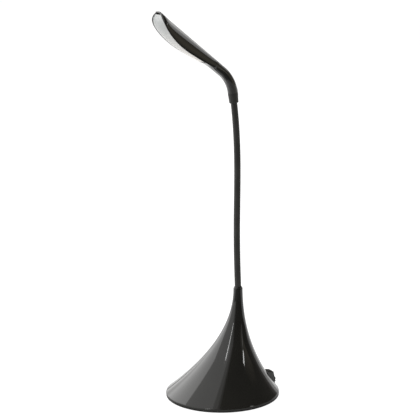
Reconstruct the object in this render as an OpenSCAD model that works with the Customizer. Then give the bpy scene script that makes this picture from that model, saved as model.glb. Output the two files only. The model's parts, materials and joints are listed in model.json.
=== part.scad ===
// Gooseneck desk lamp: a trumpet-shaped weighted base, a bendable neck and a petal-shaped LED head.
// Z is up, the head points to -Y, and the origin is the middle of the underside.

/* [Base] */
// Diameter of the base
base_d = 130; // [120:1:140]
// Height of the trumpet, from the table to its top
base_h = 124; // [116:1:132]
// How far the top of the trumpet stands behind the middle of the base
apex_back = 21; // [16:1:24]
// How sharply the trumpet flares; larger is slimmer
flare = 2.1; // [2:0.05:2.3]
// Height of the upright edge round the foot
edge_h = 4.2; // [3.8:0.1:5]
// Gap between the shell and the table
foot_gap = 0.9; // [0.6:0.1:1.2]
// Wall of the trumpet
base_wall = 2.2; // [1.8:0.1:2.6]
// Radius of the trumpet at its top
throat_r = 4.9; // [4.8:0.1:5.4]
// Thickness of the non-slip pad
pad_t = 1.5; // [1.2:0.1:1.8]
// Thickness of the base plate
plate_t = 2.2; // [1.8:0.1:2.4]
// Radius of the screw bosses
boss_r = 3.8; // [3.4:0.1:4.2]
// Distance of the screw bosses from the middle
boss_at = 52; // [50:1:54]
// Radius of the plate screws
plate_screw_r = 1.5; // [1.3:0.1:1.7]
// Length of the plate screws
plate_screw_l = 10; // [8:0.5:11]

/* [Ballast] */
// Radius of the steel ballast
ballast_r = 44; // [40:1:46]
// Thickness of the ballast
ballast_t = 8; // [6:0.5:9]
// Distance from the ballast's middle to its flat rear side
ballast_flat = 30; // [26:1:32]
// Radius of the ballast screws
ballast_screw_r = 2; // [1.7:0.1:2.3]

/* [Switch pod] */
// Width of the switch housing on the back of the base
pod_w = 9; // [8.8:0.1:9.4]
// Distance of the switch housing's middle from the lamp's middle plane
pod_x = 6.5; // [6.3:0.1:6.8]
// Height of the switch housing's top above the table
pod_top = 22.6; // [22.2:0.1:23.4]
// How far the housings' rear face stands in from the base's edge, at its top
pod_in = 5.4; // [5:0.1:5.8]
// Lean of the rear face from upright
pod_lean = 13; // [12:0.5:14]
// Wall of the housings
pod_wall = 2; // [1.8:0.1:2.1]
// How much lower the power inlet's housing is
inlet_drop = 5.3; // [5:0.1:5.5]
// Width of the switch frame
switch_w = 7.4; // [7.2:0.1:7.8]
// Height of the switch frame
switch_h = 12.4; // [12:0.1:12.6]
// Depth of the switch body behind the housing's wall
switch_depth = 11; // [9:0.5:12]
// Swing of the rocker each way
rocker_tilt = 8; // [6:1:9]
// Radius of the power inlet's threaded barrel
jack_r = 3.4; // [3.3:0.1:3.5]
// Radius of the plug hole in the power inlet
plug_r = 2.8; // [2.6:0.1:2.9]
// Depth of the power inlet
jack_depth = 12; // [10:0.5:13]

/* [Neck] */
// Height of the head's joint, at the top of the neck
neck_top = 336.5; // [325:0.5:348]
// Height of the lowest bend above the trumpet
neck_foot = 8; // [7:0.5:10]
// Outer diameter of the neck's sleeve
neck_d = 6.8; // [6.7:0.1:7]
// Wall of the sleeve
sleeve_wall = 0.8; // [0.7:0.05:0.9]
// Radius of the hole for the lamp lead
lead_bore_r = 1.25; // [1.2:0.05:1.35]
// Largest bend of each neck joint, either way
link_bend = 16; // [12:1:17]
// Forward lean that the neck takes at its top
neck_droop = 3; // [2:0.2:4]
// Slight wave along the neck
neck_wave = 0.9; // [0.4:0.1:1.2]

/* [Head] */
// Angle of the head above level
head_rise = 40; // [34:1:46]
// Lean of the head's sleeve from upright
sleeve_lean = 6; // [4:0.5:8]
// Length of the head's straight sleeve
sleeve_len = 11.8; // [11:0.2:14]
// Outer radius of the sleeve's lower end
sleeve_r = 4.9; // [4.8:0.1:5.3]
// Radius of the elbow tube
tube_r = 5.7; // [5.5:0.1:6]
// Bend radius of the elbow
elbow_r = 37; // [32:1:42]
// Length of the petal from the elbow to the tip
petal_l = 103; // [95:1:112]
// Greatest width of the petal
petal_w = 38.6; // [34:0.2:42]
// Greatest depth of the petal
petal_h = 16.3; // [15.4:0.1:18]
// Wall of the head shells
head_wall = 1.6; // [1.4:0.1:1.8]
// Thickness of the diffuser
diffuser_t = 1.5; // [1.2:0.1:1.8]
// How far the diffuser sits inside the rim
diffuser_in = 0.5; // [0.3:0.1:0.8]
// Length of the LED board
led_board_l = 58; // [52:1:60]
// Width of the LED board
led_board_w = 10; // [9:0.5:11]
// Number of LEDs in each of the two rows
led_count = 9; // [6:1:10]

/* [Hidden] */
$fn = 48;

// Clearance round screws, spigots and other close fits
fit = 0.05;
// Gap between pieces that only lie beside each other
gap = 0.3;

// --- base: the trumpet is a stack of circles whose middles move back towards the top
base_r = base_d / 2;
ring_n = 48;
horn_n = 22;
plate_z = pad_t;
plate_top = plate_z + plate_t;
lip_r = base_r - base_wall - 0.4;

// Share of the way up the trumpet at height z
function up(z) = (z - edge_h) / (base_h - edge_h);
function horn_r(z) = throat_r + (base_r - throat_r) * pow(1 - up(z), flare);
function horn_y(z) = apex_back * sin(90 * up(z));
// Wall measured level: the steeper the flare lies, the wider it is
function flank(z) = flare * (base_r - throat_r) / (base_h - edge_h) * pow(1 - up(z), flare - 1);
function wall_r(z) = base_wall * sqrt(1 + pow(flank(z), 2));

// Heights of the rings: close together near the foot, wider apart above
function ring_z(k) = edge_h + (base_h - edge_h) * pow(k / horn_n, 1.6);
function ring(r, y, z) = [for (a = [0 : ring_n - 1]) [r * cos(a * 360 / ring_n), y + r * sin(a * 360 / ring_n), z]];

throat_bore_r = neck_d / 2 + 0.65;
outer_rings = concat(
    [ring(base_r - 0.6, 0, foot_gap), ring(base_r, 0, foot_gap + 0.6)],
    [for (k = [0 : horn_n]) ring(horn_r(ring_z(k)), horn_y(ring_z(k)), ring_z(k))]
);
// The hollow runs up to the throat, where the neck's ferrule fills the bore
hollow_top = base_h - 10;
function hollow_z(k) = plate_top + 0.6 + (hollow_top - plate_top - 0.6) * pow(k / 16, 1.5);
hollow_rings = concat(
    [ring(lip_r, 0, foot_gap - 1), ring(lip_r, 0, plate_top)],
    [for (k = [0 : 16]) let (z = hollow_z(k), zz = max(z, edge_h))
        ring(max(min(horn_r(zz) - wall_r(zz), lip_r - 0.2), throat_bore_r), horn_y(zz), z)]
);

// Solid through a stack of rings that all have the same number of points
module ring_stack(rings) {
    n = len(rings[0]);
    m = len(rings);
    points = [for (r = rings) each r];
    sides = [for (k = [0 : m - 2]) for (a = [0 : n - 1])
        let (b = (a + 1) % n)
        each [[k * n + a, (k + 1) * n + b, k * n + b], [k * n + a, (k + 1) * n + a, (k + 1) * n + b]]];
    floor_face = [[for (a = [0 : n - 1]) a]];
    top_face = [[for (a = [n - 1 : -1 : 0]) (m - 1) * n + a]];
    polyhedron(points, concat(sides, floor_face, top_face));
}

// Thin shell between two matching grids of points, closed along all four edges
module grid_shell(outside, inside) {
    m = len(outside);
    n = len(outside[0]);
    points = concat([for (r = outside) each r], [for (r = inside) each r]);
    s = m * n;
    function o(i, j) = i * n + j;
    function q(i, j) = s + i * n + j;
    skins = [for (i = [0 : m - 2]) for (j = [0 : n - 2])
        each [
            [o(i, j), o(i, j + 1), o(i + 1, j + 1)], [o(i, j), o(i + 1, j + 1), o(i + 1, j)],
            [q(i, j), q(i + 1, j + 1), q(i, j + 1)], [q(i, j), q(i + 1, j), q(i + 1, j + 1)]
        ]];
    long_edges = [for (i = [0 : m - 2])
        each [
            [o(i, 0), o(i + 1, 0), q(i + 1, 0)], [o(i, 0), q(i + 1, 0), q(i, 0)],
            [o(i, n - 1), q(i + 1, n - 1), o(i + 1, n - 1)], [o(i, n - 1), q(i, n - 1), q(i + 1, n - 1)]
        ]];
    end_edges = [for (j = [0 : n - 2])
        each [
            [o(0, j), q(0, j + 1), o(0, j + 1)], [o(0, j), q(0, j), q(0, j + 1)],
            [o(m - 1, j), o(m - 1, j + 1), q(m - 1, j + 1)], [o(m - 1, j), q(m - 1, j + 1), q(m - 1, j)]
        ]];
    polyhedron(points, concat(skins, long_edges, end_edges));
}

// Smooth curve through a run of points, with a few steps between each two
curve_n = 4;
function bend(a, b, c, d, t) =
    (2 * b + (c - a) * t + (2 * a - 5 * b + 4 * c - d) * t * t + (3 * b - a - 3 * c + d) * t * t * t) / 2;
function curve(p) = let (m = len(p) - 1) concat(
    [for (k = [0 : m - 1]) for (t = [0 : curve_n - 1])
        bend(p[max(k - 1, 0)], p[k], p[k + 1], p[min(k + 2, m)], t / curve_n)],
    [p[m]]
);
// Round wire along that curve; a ring stands square to it at each step
wire_n = 10;
function wire_ring(c, t, r) =
    let (e = cross(t, [1, 0, 0]) / norm(cross(t, [1, 0, 0])), f = cross(t, e))
    [for (a = [0 : 360 / wire_n : 359]) c + r * (cos(a) * e + sin(a) * f)];
module wire(path, r) {
    p = curve(path);
    m = len(p) - 1;
    ring_stack([for (k = [0 : m])
        let (t = p[min(k + 1, m)] - p[max(k - 1, 0)]) wire_ring(p[k], t / norm(t), r)]);
}

// Rectangle with two rounded corners at its top
module tombstone(w, h, r) {
    translate([-w / 2, -h]) square([w, h - r]);
    translate([-w / 2 + r, -r - 0.01]) square([w - 2 * r, r + 0.01]);
    for (x = [-1, 1]) translate([x * (w / 2 - r), -r]) circle(r = r);
}

// --- screws that stand head down in the base plate
head_r = 1.9; // share of the shank's radius
module countersunk(r, l, slack = 0) {
    cylinder(r1 = r * head_r + slack, r2 = r + slack, h = r * (head_r - 1));
    cylinder(r = r + slack, h = l);
}
// Small pan-head screw with its head on top, hanging down from the origin
module pan_screw(r, l) {
    translate([0, 0, -l]) cylinder(r = r, h = l);
    difference() {
        cylinder(r1 = r * 1.8, r2 = r * 1.4, h = r);
        for (a = [0, 90]) rotate([0, 0, a]) translate([-r, -r / 6, r / 2]) cube([2 * r, r / 3, r]);
    }
}
module at_bosses() {
    for (a = [45 : 90 : 315]) rotate([0, 0, a]) translate([boss_at, 0, 0]) children();
}

// --- two housings on the back of the base that share one leaning rear face
pod_back = base_r - pod_in;
pod_corner = pod_wall + 0.3;
pod_slope = 9;
pod_front = 38;
pod_top_run = 4;
pod_long = 60;
function face_y(z) = pod_back + (pod_top - z) * tan(pod_lean);
// Middle of the corner's arc: where the face and the roof, moved in by the radius, cross
function pod_corner_at(drop) =
    let (
        f = pod_back * cos(pod_lean) + pod_top * sin(pod_lean) - pod_corner,
        t = (pod_back - pod_top_run) * sin(pod_slope) + (pod_top - drop) * cos(pod_slope) - pod_corner,
        d = cos(pod_lean) * cos(pod_slope) - sin(pod_lean) * sin(pod_slope)
    )
    [(f * cos(pod_slope) - t * sin(pod_lean)) / d, (t * cos(pod_lean) - f * sin(pod_slope)) / d];
function pod_outline(inset, drop) =
    let (c = pod_corner_at(drop), r = pod_corner - inset, b = edge_h + inset / 2)
    concat(
        [[pod_front, b], [face_y(b) - inset / cos(pod_lean), b]],
        [for (a = [pod_lean : (90 - pod_slope - pod_lean) / 8 : 90 - pod_slope + 0.001])
            c + r * [cos(a), sin(a)]],
        [[pod_front, c[1] + r * cos(pod_slope) + (c[0] + r * sin(pod_slope) - pod_front) * tan(pod_slope)]]
    );
// Frame on the rear face: Z points out of it and Y down it, from the height of the switch housing's top
module on_pod() {
    translate([0, pod_back, pod_top]) rotate([pod_lean - 90, 0, 0]) children();
}
// One housing: its side view, with its upright edges and its roof's edges rounded
module housing(x, w, drop, inset) {
    translate([x, 0, 0]) intersection() {
        rotate([90, 0, 90]) translate([0, 0, -w / 2 + inset])
            linear_extrude(w - 2 * inset) polygon(pod_outline(inset, drop));
        on_pod() translate([0, pod_long, -inset]) rotate([90, 0, 0]) linear_extrude(2 * pod_long)
            tombstone(w - 2 * inset, pod_long, pod_corner - inset);
        translate([0, pod_back - pod_top_run, pod_top - drop]) rotate([90 - pod_slope, 0, 0])
            translate([0, -inset, -pod_long]) linear_extrude(2 * pod_long)
                tombstone(w - 2 * inset, pod_long, pod_corner - inset);
    }
}
inlet_y = 12;
inlet_nut_af = 8.8;
inlet_nut_t = 2.2;
// The inlet's nut just fits between the outer wall and the switch housing
inlet_x = pod_x - pod_w / 2 - inlet_nut_af / sqrt(3) - pod_wall;
inlet_left = inlet_x - inlet_nut_af / sqrt(3) - pod_wall - 0.15;
inlet_right = pod_x;
module pod(inset) {
    housing(pod_x, pod_w, 0, inset);
    housing((inlet_left + inlet_right) / 2, inlet_right - inlet_left, inlet_drop, inset);
}

switch_x = pod_x;
switch_y = 8.6;
module at_switch() {
    on_pod() translate([switch_x, switch_y, 0]) children();
}
module at_inlet() {
    on_pod() translate([inlet_x, inlet_y, 0]) children();
}
body_w = switch_w - 1;
body_h = switch_h - 1;
frame_t = 0.8;

// --- where the neck is held: a web across the hollow of the trumpet
web_top = base_h - 40;
web_t = 4;
ferrule_r = neck_d / 2 + 0.5;
ferrule_top = web_top + 16;
thread_r = 3;
washer_t = 1.2;
nut_t = 5;
nut_af = 10;
throat_open_r = ferrule_r + 0.1;

module base_shell() {
    color("#1b1b1b")
    difference() {
        union() {
            ring_stack(outer_rings);
            pod(0);
        }
        difference() {
            union() {
                ring_stack(hollow_rings);
                pod(pod_wall);
            }
            at_bosses() translate([0, 0, plate_top]) cylinder(r = boss_r, h = base_h);
            translate([0, apex_back, web_top - web_t]) cylinder(r = base_r, h = web_t);
        }
        at_bosses() translate([0, 0, plate_z]) cylinder(r = plate_screw_r + fit, h = plate_screw_l + 1);
        translate([0, apex_back, web_top]) cylinder(r = throat_open_r, h = base_h);
        translate([0, apex_back, 0]) cylinder(r = thread_r + fit, h = web_top + 1);
        at_switch() translate([-body_w / 2 - fit, -body_h / 2 - fit, -switch_depth - pod_wall])
            cube([body_w + 2 * fit, body_h + 2 * fit, switch_depth + 2 * pod_wall]);
        at_inlet() translate([0, 0, -2 * pod_wall]) cylinder(r = jack_r + fit, h = 4 * pod_wall);
    }
}

ballast_y = -6;
ballast_screw_x = 26;
ballast_screw_l = plate_t + 0.75 * ballast_t;
module at_ballast_screws() {
    for (x = [-1, 1]) translate([x * ballast_screw_x, ballast_y, plate_z]) children();
}
module base_plate() {
    color("#3a3d40")
    difference() {
        translate([0, 0, plate_z]) cylinder(r = lip_r - gap, h = plate_t);
        at_bosses() translate([0, 0, plate_z]) countersunk(plate_screw_r, plate_t + 1, fit);
        at_ballast_screws() countersunk(ballast_screw_r, plate_t + 1, fit);
    }
}
module non_slip_pad() {
    color("#222222") cylinder(r = lip_r - 2 * gap, h = pad_t);
}
module plate_screws() {
    color("#b0b3b5") at_bosses() translate([0, 0, plate_z]) countersunk(plate_screw_r, plate_screw_l);
}
module ballast_screws() {
    color("#b0b3b5") at_ballast_screws() countersunk(ballast_screw_r, ballast_screw_l);
}

// --- driver board, on standoffs that stand in the ballast
board_w = 44;
board_d = 24;
board_t = 1.6;
board_y = -8;
standoff_h = 5;
standoff_r = 2.5;
standoff_x = 18;
stud_r = 1.5;
stud_l = 5;
board_screw_r = 1.2;
ballast_top = plate_top + ballast_t;
board_z = ballast_top + standoff_h;
board_top = board_z + board_t;
module at_standoffs() {
    for (x = [-1, 1]) translate([x * standoff_x, board_y, 0]) children();
}
module ballast() {
    color("#6d6f70")
    difference() {
        translate([0, ballast_y, plate_top]) cylinder(r = ballast_r, h = ballast_t);
        translate([-ballast_r, ballast_y + ballast_flat, 0]) cube([2 * ballast_r, ballast_r, base_h]);
        at_ballast_screws() cylinder(r = ballast_screw_r + fit, h = ballast_screw_l + 1);
        at_standoffs() translate([0, 0, ballast_top - stud_l - 0.5]) cylinder(r = stud_r + fit, h = stud_l + 1);
    }
}
module board_standoffs() {
    color("#c9a44c")
    at_standoffs() difference() {
        union() {
            translate([0, 0, ballast_top]) cylinder(r = standoff_r, h = standoff_h, $fn = 6);
            translate([0, 0, ballast_top - stud_l]) cylinder(r = stud_r, h = stud_l + 0.1);
        }
        translate([0, 0, board_z - 4.5]) cylinder(r = board_screw_r + fit, h = 5);
    }
}
module board_screws() {
    color("#b0b3b5") at_standoffs() translate([0, 0, board_top]) pan_screw(board_screw_r, board_t + 4);
}
module driver_board() {
    color("#1f5c3a")
    difference() {
        translate([-board_w / 2, board_y - board_d / 2, board_z]) cube([board_w, board_d, board_t]);
        at_standoffs() translate([0, 0, board_z - 1]) cylinder(r = board_screw_r + 2 * fit, h = board_t + 2);
    }
}
module driver_inductor() {
    color("#35302c")
    translate([7, board_y, board_top]) {
        cylinder(r = 4.6, h = 1.2);
        cylinder(r = 3.4, h = 5.6);
        translate([0, 0, 4.6]) cylinder(r = 4.6, h = 1.2);
    }
}
module driver_capacitors() {
    color("#26282b")
    for (y = [-1, 1]) translate([-8, board_y + y * 4.5, board_top]) {
        cylinder(r = 3.1, h = 8);
        cylinder(r = 3.3, h = 0.8);
    }
}
module driver_chips() {
    color("#111111") {
        translate([-2.4, board_y - 9, board_top]) cube([5, 4, 1.5]);
        translate([-2.4, board_y + 2.5, board_top]) cube([4, 3, 1.2]);
        translate([13.5, board_y + 3, board_top]) cube([3.5, 2.6, 1.4]);
    }
}

// --- switch and power inlet in the pod
pivot_depth = 1.6;
pin_r = 0.9;
window_w = body_w - 1.4;
window_h = body_h - 0.8;
rocker_r = window_h / 2 - 0.1;
rocker_low = 1.8;
well_depth = pivot_depth + rocker_low + rocker_r * sin(rocker_tilt) + 0.2;
blade_l = 5;
module switch_body() {
    color("#161616")
    at_switch() difference() {
        union() {
            translate([-body_w / 2, -body_h / 2, -switch_depth]) cube([body_w, body_h, switch_depth + 0.1]);
            translate([-switch_w / 2, -switch_h / 2, 0]) cube([switch_w, switch_h, frame_t]);
        }
        translate([-window_w / 2, -window_h / 2, -well_depth]) cube([window_w, window_h, well_depth + 1]);
        translate([-window_w / 2 - 0.5, 0, -pivot_depth]) rotate([0, 90, 0])
            cylinder(r = pin_r + fit, h = window_w + 1);
        for (y = [-1, 1]) translate([-1.4 - fit, y * 3 - 0.3 - fit, -switch_depth - 1])
            cube([2.8 + 2 * fit, 0.6 + 2 * fit, 3]);
    }
}
// The rocker's ends are arcs about its pin, so they keep their gap as it swings
module rocker_side() {
    intersection() {
        circle(r = rocker_r);
        polygon([
            [-rocker_r, -rocker_low], [rocker_r, -rocker_low], [rocker_r, 3.9],
            [rocker_r - 1.4, 3.5], [0, 2.6], [-rocker_r + 1.4, 3.5], [-rocker_r, 3.9]
        ]);
    }
}
module switch_rocker() {
    color("#101010")
    at_switch() translate([0, 0, -pivot_depth]) rotate([rocker_tilt, 0, 0]) {
        translate([-window_w / 2 + 0.15, 0, 0]) rotate([90, 0, 90])
            linear_extrude(window_w - 0.3) rocker_side();
        translate([-window_w / 2 - 0.4, 0, 0]) rotate([0, 90, 0]) cylinder(r = pin_r, h = window_w + 0.8);
    }
}
module switch_terminals() {
    color("#c9b27a")
    at_switch() for (y = [-1, 1])
        translate([-1.4, y * 3 - 0.3, -switch_depth - blade_l]) cube([2.8, 0.6, blade_l + 1.9]);
}
flange_t = 1;
plug_depth = jack_depth - 3;
contact_r = 1;
module power_inlet() {
    color("#151515")
    at_inlet() difference() {
        union() {
            translate([0, 0, -jack_depth]) cylinder(r = jack_r, h = jack_depth + 0.1);
            cylinder(r1 = jack_r + 1, r2 = jack_r + 0.7, h = flange_t);
        }
        translate([0, 0, -plug_depth]) cylinder(r = plug_r, h = jack_depth + flange_t);
        translate([0, 0, -jack_depth - 1]) cylinder(r = contact_r + fit, h = jack_depth);
        translate([-1 - fit, 2.2 - fit, -jack_depth - 1]) cube([2 + 2 * fit, 0.6 + 2 * fit, 3]);
    }
}
module inlet_contacts() {
    color("#c9b27a")
    at_inlet() {
        translate([0, 0, -jack_depth - blade_l]) cylinder(r = contact_r, h = jack_depth + blade_l - 0.6);
        translate([-1, 2.2, -jack_depth - blade_l]) cube([2, 0.6, blade_l + 1.9]);
    }
}
module inlet_nut() {
    color("#b0b3b5")
    at_inlet() translate([0, 0, -pod_wall - inlet_nut_t]) difference() {
        cylinder(r = inlet_nut_af / sqrt(3), h = inlet_nut_t, $fn = 6);
        translate([0, 0, -1]) cylinder(r = jack_r + fit, h = 5);
    }
}
// Point on the pod's own frame, as the wires need it
function pod_point(x, y, z) = [
    x,
    pod_back + y * sin(pod_lean) + z * cos(pod_lean),
    pod_top - y * cos(pod_lean) + z * sin(pod_lean)
];
lead_r = 0.8;
lead_land = 14;
board_edge = board_y + board_d / 2;
module pair_of_leads(x, y0, y1, y2, depth, land) {
    for (k = [0, 1]) let (
        y = k == 0 ? y1 : y2,
        start = pod_point(x, y0 + y, -depth - blade_l - lead_r),
        side = (k - 0.5) * 4
    )
        wire([
            start,
            [x + side / 2, 34, start[2] + 3],
            [land + side, board_edge + 6, board_top + 9],
            [land + side, board_edge - 3, board_top + 6],
            [land + side, board_edge - 3, board_top + 3],
            [land + side, board_edge - 3, board_top]
        ], lead_r);
}
module switch_leads() {
    color("#a32020") pair_of_leads(switch_x, switch_y, -3, 3, switch_depth, lead_land);
}
module inlet_leads() {
    color("#202020") pair_of_leads(inlet_x, inlet_y, 0, 2.5, jack_depth, -lead_land);
}

// --- neck: a steel core in links, each in its stretch of sleeve, with a ball joint between links
joints = 12;
core_r = neck_d / 2 - sleeve_wall;
ball_r = core_r - 0.3;
cup_r = ball_r + fit;
cup_lip = 0.6;
stem_r = 1.75;
shoulder = cup_lip * cos(link_bend) + neck_d / 2 * sin(link_bend) + 0.35;
neck_z0 = base_h + neck_foot;
function neck_up(z) = (z - base_h) / (neck_top - base_h);
function neck_y(z) = apex_back - neck_wave * sin(360 * neck_up(z)) - neck_droop * pow(max(neck_up(z), 0), 6);
function joint_z(k) = neck_z0 + (neck_top - neck_z0) * (k - 1) / (joints - 1);
function joint_at(k) = [0, neck_y(joint_z(k)), joint_z(k)];
function link_lean(k) = let (d = joint_at(k) - joint_at(k - 1)) atan2(-d[1], d[2]);
function link_run(k) = norm(joint_at(k) - joint_at(k - 1));
module at_link(k) {
    translate(joint_at(k - 1)) rotate([link_lean(k), 0, 0]) children();
}
module core_link(run) {
    difference() {
        union() {
            translate([0, 0, -cup_lip]) cylinder(r = core_r, h = run - shoulder + cup_lip);
            translate([0, 0, run - shoulder - 1]) cylinder(r = stem_r, h = shoulder + 1);
            translate([0, 0, run]) sphere(r = ball_r);
        }
        sphere(r = cup_r);
        translate([0, 0, -cup_lip - 1]) cylinder(r = lead_bore_r, h = run + ball_r + 2);
    }
}
module sleeve_link(run) {
    translate([0, 0, -cup_lip]) difference() {
        cylinder(r = neck_d / 2, h = run - shoulder + cup_lip);
        translate([0, 0, -1]) cylinder(r = core_r, h = run + 2);
    }
}
module neck_core(k) {
    color("#8d9092")
    if (k == 1) {
        bottom = web_top + 2;
        translate([0, apex_back, 0]) difference() {
            union() {
                translate([0, 0, bottom]) cylinder(r = core_r, h = neck_z0 - shoulder - bottom);
                translate([0, 0, neck_z0 - shoulder - 1]) cylinder(r = stem_r, h = shoulder + 1);
                translate([0, neck_y(neck_z0) - apex_back, neck_z0]) sphere(r = ball_r);
            }
            translate([0, 0, bottom - 1]) cylinder(r = lead_bore_r, h = neck_z0);
        }
    } else {
        at_link(k) core_link(link_run(k));
    }
}
module neck_sleeve(k) {
    color("#242424")
    if (k == 1) {
        bottom = ferrule_top + gap;
        translate([0, apex_back, bottom]) difference() {
            cylinder(r = neck_d / 2, h = neck_z0 - shoulder - bottom);
            translate([0, 0, -1]) cylinder(r = core_r, h = neck_z0);
        }
    } else {
        at_link(k) sleeve_link(link_run(k));
    }
}
collar_h = 1.3;
module neck_collar() {
    color("#1b1b1b")
    translate([0, apex_back, base_h]) difference() {
        union() {
            rotate_extrude() polygon([
                [0, 0], [throat_r - 0.2, 0], [throat_r - 0.2, collar_h - 0.5],
                [throat_r - 0.6, collar_h], [0, collar_h]
            ]);
            translate([0, 0, -5]) cylinder(r = throat_open_r - fit, h = 5.1);
        }
        translate([0, 0, -6]) cylinder(r = neck_d / 2 + fit, h = 10);
    }
}
module neck_ferrule() {
    color("#c9a44c")
    translate([0, apex_back, 0]) difference() {
        union() {
            translate([0, 0, web_top]) cylinder(r = ferrule_r, h = ferrule_top - web_top);
            translate([0, 0, web_top - web_t - washer_t - nut_t - 2])
                cylinder(r = thread_r, h = web_t + washer_t + nut_t + 3);
        }
        translate([0, 0, web_top + 2]) cylinder(r = core_r, h = ferrule_top);
        cylinder(r = lead_bore_r, h = base_h);
    }
}
module neck_washer() {
    color("#b0b3b5")
    translate([0, apex_back, web_top - web_t - washer_t]) difference() {
        cylinder(r = nut_af / 2 + 0.3, h = washer_t);
        translate([0, 0, -1]) cylinder(r = thread_r + fit, h = 4);
    }
}
module neck_nut() {
    color("#b0b3b5")
    translate([0, apex_back, web_top - web_t - washer_t - nut_t]) difference() {
        cylinder(r = nut_af / sqrt(3), h = nut_t, $fn = 6);
        translate([0, 0, -1]) cylinder(r = thread_r + fit, h = nut_t + 2);
    }
}
lamp_lead_r = lead_bore_r - 0.15;
module lower_lamp_lead() {
    color("#2a2a2a")
    wire([
        [0, board_edge - 3, board_top],
        [0, board_edge - 3, board_top + 4],
        [0, board_edge - 3, board_top + 8],
        [0, board_edge + 6, board_top + 24],
        [0, apex_back, web_top - 26],
        [0, apex_back, web_top - 20],
        [0, apex_back, neck_z0 - shoulder]
    ], lamp_lead_r);
}

// --- head: one path from the top joint through the sleeve and elbow and along the petal
turn = 90 - head_rise - sleeve_lean;
elbow_l = elbow_r * turn * PI / 180;
petal_s = sleeve_len + elbow_l;
head_at = joint_at(joints);
function tangent(a) = [-sin(a), cos(a)];
function normal(a) = [cos(a), sin(a)];
function lean_at(s) = sleeve_lean + turn * min(max((s - sleeve_len) / elbow_l, 0), 1);
elbow_start = [head_at[1], head_at[2]] + sleeve_len * tangent(sleeve_lean);
elbow_mid = elbow_start - elbow_r * normal(sleeve_lean);
petal_start = elbow_mid + elbow_r * normal(lean_at(petal_s));
function middle(s) =
    s < sleeve_len ? elbow_start - (sleeve_len - s) * tangent(sleeve_lean)
    : s < petal_s ? elbow_mid + elbow_r * normal(lean_at(s))
    : petal_start + (s - petal_s) * tangent(lean_at(s));
// Point at run s, x to the side and v towards the crown
function place(s, x, v) = let (p = middle(s) + v * normal(lean_at(s))) [x, p[0], p[1]];
// The same with b counted from the petal's start and d down from the crown
function petal(b, x, d) = place(petal_s + b, x, tube_r - d);

function ease(t) = (1 - cos(180 * min(max(t, 0), 1))) / 2;
// Side view: the rim drops from the tube to its deepest place, then runs up round the tip
swell_at = 15;
deep_at = petal_l - 40;
tip_run = petal_l - deep_at;
function depth(b) =
    b < deep_at ? 2 * tube_r + (petal_h - 2 * tube_r) * ease((b - swell_at) / (deep_at - swell_at))
    : petal_h * sqrt(max(1 - pow((b - deep_at) / tip_run, 2), 0));
// Plan: half the petal's width, full to 15 mm from the tip and rounded there
widen_at = 10;
nose = 15;
nose_power = 2.6;
function half_w(b) =
    let (
        t = min(max((b - widen_at) / (petal_l - 13 - widen_at), 0), 1),
        n = max((b - petal_l + nose) / nose, 0)
    )
    (tube_r + (petal_w / 2 - tube_r) * pow(t, 0.8)) * pow(max(1 - pow(n, nose_power), 0), 1 / nose_power);
// Where the upper shell ends: half way down the tube, and at the rim along the petal
function split(b) = tube_r + (depth(b) - tube_r) * ease((b + 5) / 33);
// Half the width of the hollow at d below the crown
function hollow_x(b, d) =
    (half_w(b) - head_wall) * sqrt(max(1 - pow((depth(b) - d) / (depth(b) - head_wall), 2), 0));

arc_n = 18;
elbow_n = 7;
petal_n = 8;
tip_n = 10;
tip_end = asin((head_wall + 0.1) / petal_h);
// The elbow cover runs on under the petal as far as the diffuser
cover_end = 24;
cover_b = [for (k = [0 : 5]) cover_end * k / 5];
rows_b = concat(
    [for (k = [0 : elbow_n - 1]) -elbow_l * (1 - k / elbow_n)],
    cover_b,
    [for (k = [1 : petal_n]) cover_end + (deep_at - cover_end) * k / petal_n],
    [for (k = [1 : tip_n]) deep_at + tip_run * cos(90 + (tip_end - 90) * k / tip_n)]
);
function arch(b, w, rise, d, from = 0) =
    [for (j = [0 : arc_n]) let (a = 180 - from - (180 - 2 * from) * j / arc_n) petal(b, w * cos(a), d - rise * sin(a))];
function trough(b, w, drop, d) =
    [for (j = [0 : arc_n]) let (a = 180 * j / arc_n) petal(b, w * cos(a), d + drop * sin(a))];

shoulder_l = 4.2;
sleeve_foot = 0.4;
// The sleeve ends a hair proud of the elbow that runs into it
sleeve_top_r = tube_r + 0.15;
module at_head() {
    translate(head_at) rotate([sleeve_lean, 0, 0]) children();
}
module head_shell() {
    color("#161616") {
        grid_shell(
            [for (b = concat([-elbow_l - 0.6], rows_b)) arch(b, half_w(b), split(b), split(b))],
            [for (b = concat([-elbow_l - 0.6], rows_b))
                arch(b, half_w(b) - head_wall, split(b) - head_wall, split(b))]
        );
        at_head() difference() {
            rotate_extrude() polygon([
                [0, sleeve_foot], [sleeve_r - 0.4, sleeve_foot], [sleeve_r, sleeve_foot + 0.3],
                [sleeve_r + 0.3, sleeve_foot + 0.9], [sleeve_top_r, sleeve_len], [0, sleeve_len]
            ]);
            cylinder(r = ferrule_r + fit, h = sleeve_foot + shoulder_l);
            cylinder(r = neck_d / 2 + fit, h = sleeve_len + 1);
        }
    }
}
cover_rows = concat(
    [for (k = [0 : elbow_n - 1]) -elbow_l * (1 - k / elbow_n) + (k == 0 ? fit : 0)],
    cover_b
);
module elbow_cover() {
    color("#181818")
    grid_shell(
        [for (b = cover_rows) trough(b, half_w(b), depth(b) - split(b), split(b))],
        [for (b = cover_rows) trough(b, half_w(b) - head_wall, depth(b) - split(b) - head_wall, split(b))]
    );
}
clip_t = 0.8;
clip_r = tube_r - head_wall - 0.1;
groove_r = neck_d / 2 - 0.5;
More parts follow.
